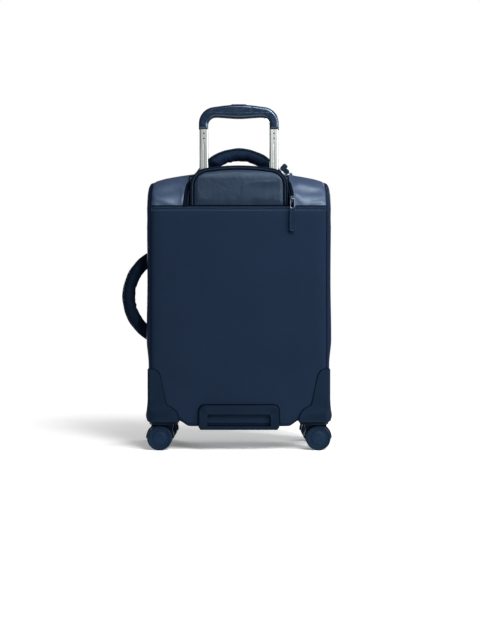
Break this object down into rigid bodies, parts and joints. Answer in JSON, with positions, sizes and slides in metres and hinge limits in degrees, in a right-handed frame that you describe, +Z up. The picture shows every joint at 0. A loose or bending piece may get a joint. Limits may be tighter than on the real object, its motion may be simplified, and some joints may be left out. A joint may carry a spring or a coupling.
{
  "type": "softside upright suitcase",
  "caption": "Upright soft fabric suitcase with a zipped lid, a telescopic trolley handle under a zipped flap, padded top and side handles and swivelling twin casters.",
  "frame": {"origin": "on the floor, on the case's left-right centre plane, 5 mm in front of the middle of the body's depth", "axes": "+Z up; -Y is the back of the case with the trolley handle, +Y the lid; +X is to the right when the back is seen; the side handle is on -X"},
  "size_m": [0.4112, 0.2452, 0.6706],
  "materials": {
    "canvas": "matt navy coated weave",
    "satin_nylon": "satin navy nylon",
    "zip_tape": "dark navy zip tape",
    "handle_fabric": "padded navy nylon",
    "webbing": "navy webbing",
    "lining": "thin woven polyester",
    "moulded_navy": "fine-textured plastic",
    "grip_navy": "satin plastic",
    "wheel_navy": "smooth plastic",
    "tyre": "navy polyurethane",
    "board": "black sheet plastic",
    "aluminium": "satin anodised",
    "steel": "zinc plated",
    "slider_metal": "dark blue lacquered metal",
    "pull_navy": "soft-touch moulded"
  },
  "bodies": {
    "case": {"rear_panel": "canvas", "rear_board": "board", "side_panels": "canvas", "top_panel": "satin_nylon", "base_panel": "canvas", "body_zip_tape": "zip_tape", "flap_zip_tape": "zip_tape", "corner_guards": "moulded_navy", "bottom_grip": "moulded_navy", "trolley_well": "board", "tube_socket": "moulded_navy", "outer_tubes": "aluminium", "tube_foot": "moulded_navy", "frame_hoop": "steel", "base_plate": "board", "body_lining": "lining", "packing_straps": "webbing", "handle_anchors": "webbing", "caster_kingpins": "steel", "mount_screws": "steel"},
    "lid": {"front_panel": "canvas", "lid_side_band": "satin_nylon", "lid_zip_tape": "zip_tape", "front_pocket": "canvas", "lid_lining": "lining"},
    "flap": {"flap_panel": "satin_nylon"},
    "trolley_lower": {"middle_tubes": "aluminium"},
    "trolley_upper": {"inner_tubes": "aluminium", "grip_top": "grip_navy", "grip_core": "grip_navy"},
    "release": {"release_button": "grip_navy", "release_rods": "steel"},
    "lock_left": {"lock_pin_left": "steel"},
    "lock_right": {"lock_pin_right": "steel"},
    "handle_top": {"top_handle": "handle_fabric"},
    "handle_side": {"side_handle": "handle_fabric"},
    "slider_flap": {"flap_slider": "slider_metal"},
    "pull_flap": {"flap_pull": "pull_navy"},
    "slider_main_left": {"main_slider_left": "slider_metal"},
    "pull_main_left": {"main_pull_left": "pull_navy"},
    "slider_main_right": {"main_slider_right": "slider_metal"},
    "pull_main_right": {"main_pull_right": "pull_navy"},
    "slider_pocket": {"pocket_slider": "slider_metal"},
    "pull_pocket": {"pocket_pull": "pull_navy"},
    "fork_rear_left": {"fork_rear_left": "moulded_navy"},
    "wheels_rear_left": {"axle_rear_left": "steel", "hubs_rear_left": "wheel_navy", "tyres_rear_left": "tyre"},
    "fork_rear_right": {"fork_rear_right": "moulded_navy"},
    "wheels_rear_right": {"axle_rear_right": "steel", "hubs_rear_right": "wheel_navy", "tyres_rear_right": "tyre"},
    "fork_front_left": {"fork_front_left": "moulded_navy"},
    "wheels_front_left": {"axle_front_left": "steel", "hubs_front_left": "wheel_navy", "tyres_front_left": "tyre"},
    "fork_front_right": {"fork_front_right": "moulded_navy"},
    "wheels_front_right": {"axle_front_right": "steel", "hubs_front_right": "wheel_navy", "tyres_front_right": "tyre"}
  },
  "joints": [
    {"name": "lid_hinge", "type": "hinge", "parent": "case", "child": "lid", "pos_m": [0, 0.1, 0.165], "axis": [-1, 0, 0], "range_deg": [0, 110]},
    {"name": "flap_hinge", "type": "hinge", "parent": "case", "child": "flap", "pos_m": [0, -0.11, 0.47], "axis": [1, 0, 0], "range_deg": [0, 150]},
    {"name": "lower_tube_slide", "type": "slide", "parent": "case", "child": "trolley_lower", "axis": [0, 0, 1], "range_m": [0, 0.255]},
    {"name": "grip_slide", "type": "slide", "parent": "trolley_lower", "child": "trolley_upper", "axis": [0, 0, 1], "range_m": [-0.154, 0.097]},
    {"name": "release_press", "type": "slide", "parent": "trolley_upper", "child": "release", "axis": [0, 0, -1], "range_m": [0, 0.003]},
    {"name": "pin_left_draw", "type": "slide", "parent": "trolley_upper", "child": "lock_left", "axis": [1, 0, 0], "range_m": [0, 0.0015]},
    {"name": "pin_right_draw", "type": "slide", "parent": "trolley_upper", "child": "lock_right", "axis": [-1, 0, 0], "range_m": [0, 0.0015]},
    {"name": "handle_top_swing", "type": "hinge", "parent": "case", "child": "handle_top", "pos_m": [0, -0.042, 0.545], "axis": [1, 0, 0], "range_deg": [-25, 40]},
    {"name": "handle_side_swing", "type": "hinge", "parent": "case", "child": "handle_side", "pos_m": [-0.178, -0.055, 0.2985], "axis": [0, 0, 1], "range_deg": [-45, 45]},
    {"name": "slider_flap_run", "type": "hinge", "parent": "case", "child": "slider_flap", "pos_m": [0.1025, -0.04, 0.475], "axis": [-1, 0, 0], "range_deg": [0, 22]},
    {"name": "pull_flap_swing", "type": "hinge", "parent": "slider_flap", "child": "pull_flap", "pos_m": [0.1025, -0.1174, 0.484], "axis": [-1, 0, 0], "range_deg": [0, 80]},
    {"name": "slider_left_run", "type": "hinge", "parent": "case", "child": "slider_main_left", "pos_m": [0, -0.01, -0.205], "axis": [0, -1, 0], "range_deg": [0, 17.6]},
    {"name": "slider_right_run", "type": "hinge", "parent": "case", "child": "slider_main_right", "pos_m": [0, -0.01, -0.205], "axis": [0, 1, 0], "range_deg": [0, 3.5]},
    {"name": "pull_left_swing", "type": "hinge", "parent": "slider_main_left", "child": "pull_main_left", "pos_m": [0.08093, -0.01, 0.54937], "axis": [0, 1, 0], "range_deg": [-75, 8]},
    {"name": "pull_right_swing", "type": "hinge", "parent": "slider_main_right", "child": "pull_main_right", "pos_m": [0.10521, -0.01, 0.54637], "axis": [0, 1, 0], "range_deg": [-8, 125]},
    {"name": "slider_pocket_run", "type": "slide", "parent": "lid", "child": "slider_pocket", "axis": [-1, 0, 0], "range_m": [0, 0.2]},
    {"name": "pull_pocket_swing", "type": "hinge", "parent": "slider_pocket", "child": "pull_pocket", "pos_m": [0.1, 0.12265, 0.398], "axis": [1, 0, 0], "range_deg": [0, 80]},
    {"name": "swivel_rear_left", "type": "hinge", "parent": "case", "child": "fork_rear_left", "pos_m": [-0.1465, -0.08, 0.052], "axis": [0, 0, 1], "continuous": true},
    {"name": "wheel_spin_rear_left", "type": "hinge", "parent": "fork_rear_left", "child": "wheels_rear_left", "pos_m": [-0.1535, -0.08, 0.024], "axis": [0, 1, 0], "continuous": true},
    {"name": "swivel_rear_right", "type": "hinge", "parent": "case", "child": "fork_rear_right", "pos_m": [0.1465, -0.08, 0.052], "axis": [0, 0, 1], "continuous": true},
    {"name": "wheel_spin_rear_right", "type": "hinge", "parent": "fork_rear_right", "child": "wheels_rear_right", "pos_m": [0.1535, -0.08, 0.024], "axis": [0, 1, 0], "continuous": true},
    {"name": "swivel_front_left", "type": "hinge", "parent": "case", "child": "fork_front_left", "pos_m": [-0.1465, 0.07, 0.052], "axis": [0, 0, 1], "continuous": true},
    {"name": "wheel_spin_front_left", "type": "hinge", "parent": "fork_front_left", "child": "wheels_front_left", "pos_m": [-0.1535, 0.07, 0.024], "axis": [0, 1, 0], "continuous": true},
    {"name": "swivel_front_right", "type": "hinge", "parent": "case", "child": "fork_front_right", "pos_m": [0.1465, 0.07, 0.052], "axis": [0, 0, 1], "continuous": true},
    {"name": "wheel_spin_front_right", "type": "hinge", "parent": "fork_front_right", "child": "wheels_front_right", "pos_m": [0.1535, 0.07, 0.024], "axis": [0, 1, 0], "continuous": true}
  ],
  "couplings": [
    {"joint": "pin_left_draw", "follows": "release_press", "ratio": 0.5},
    {"joint": "pin_right_draw", "follows": "release_press", "ratio": 0.5}
  ]
}
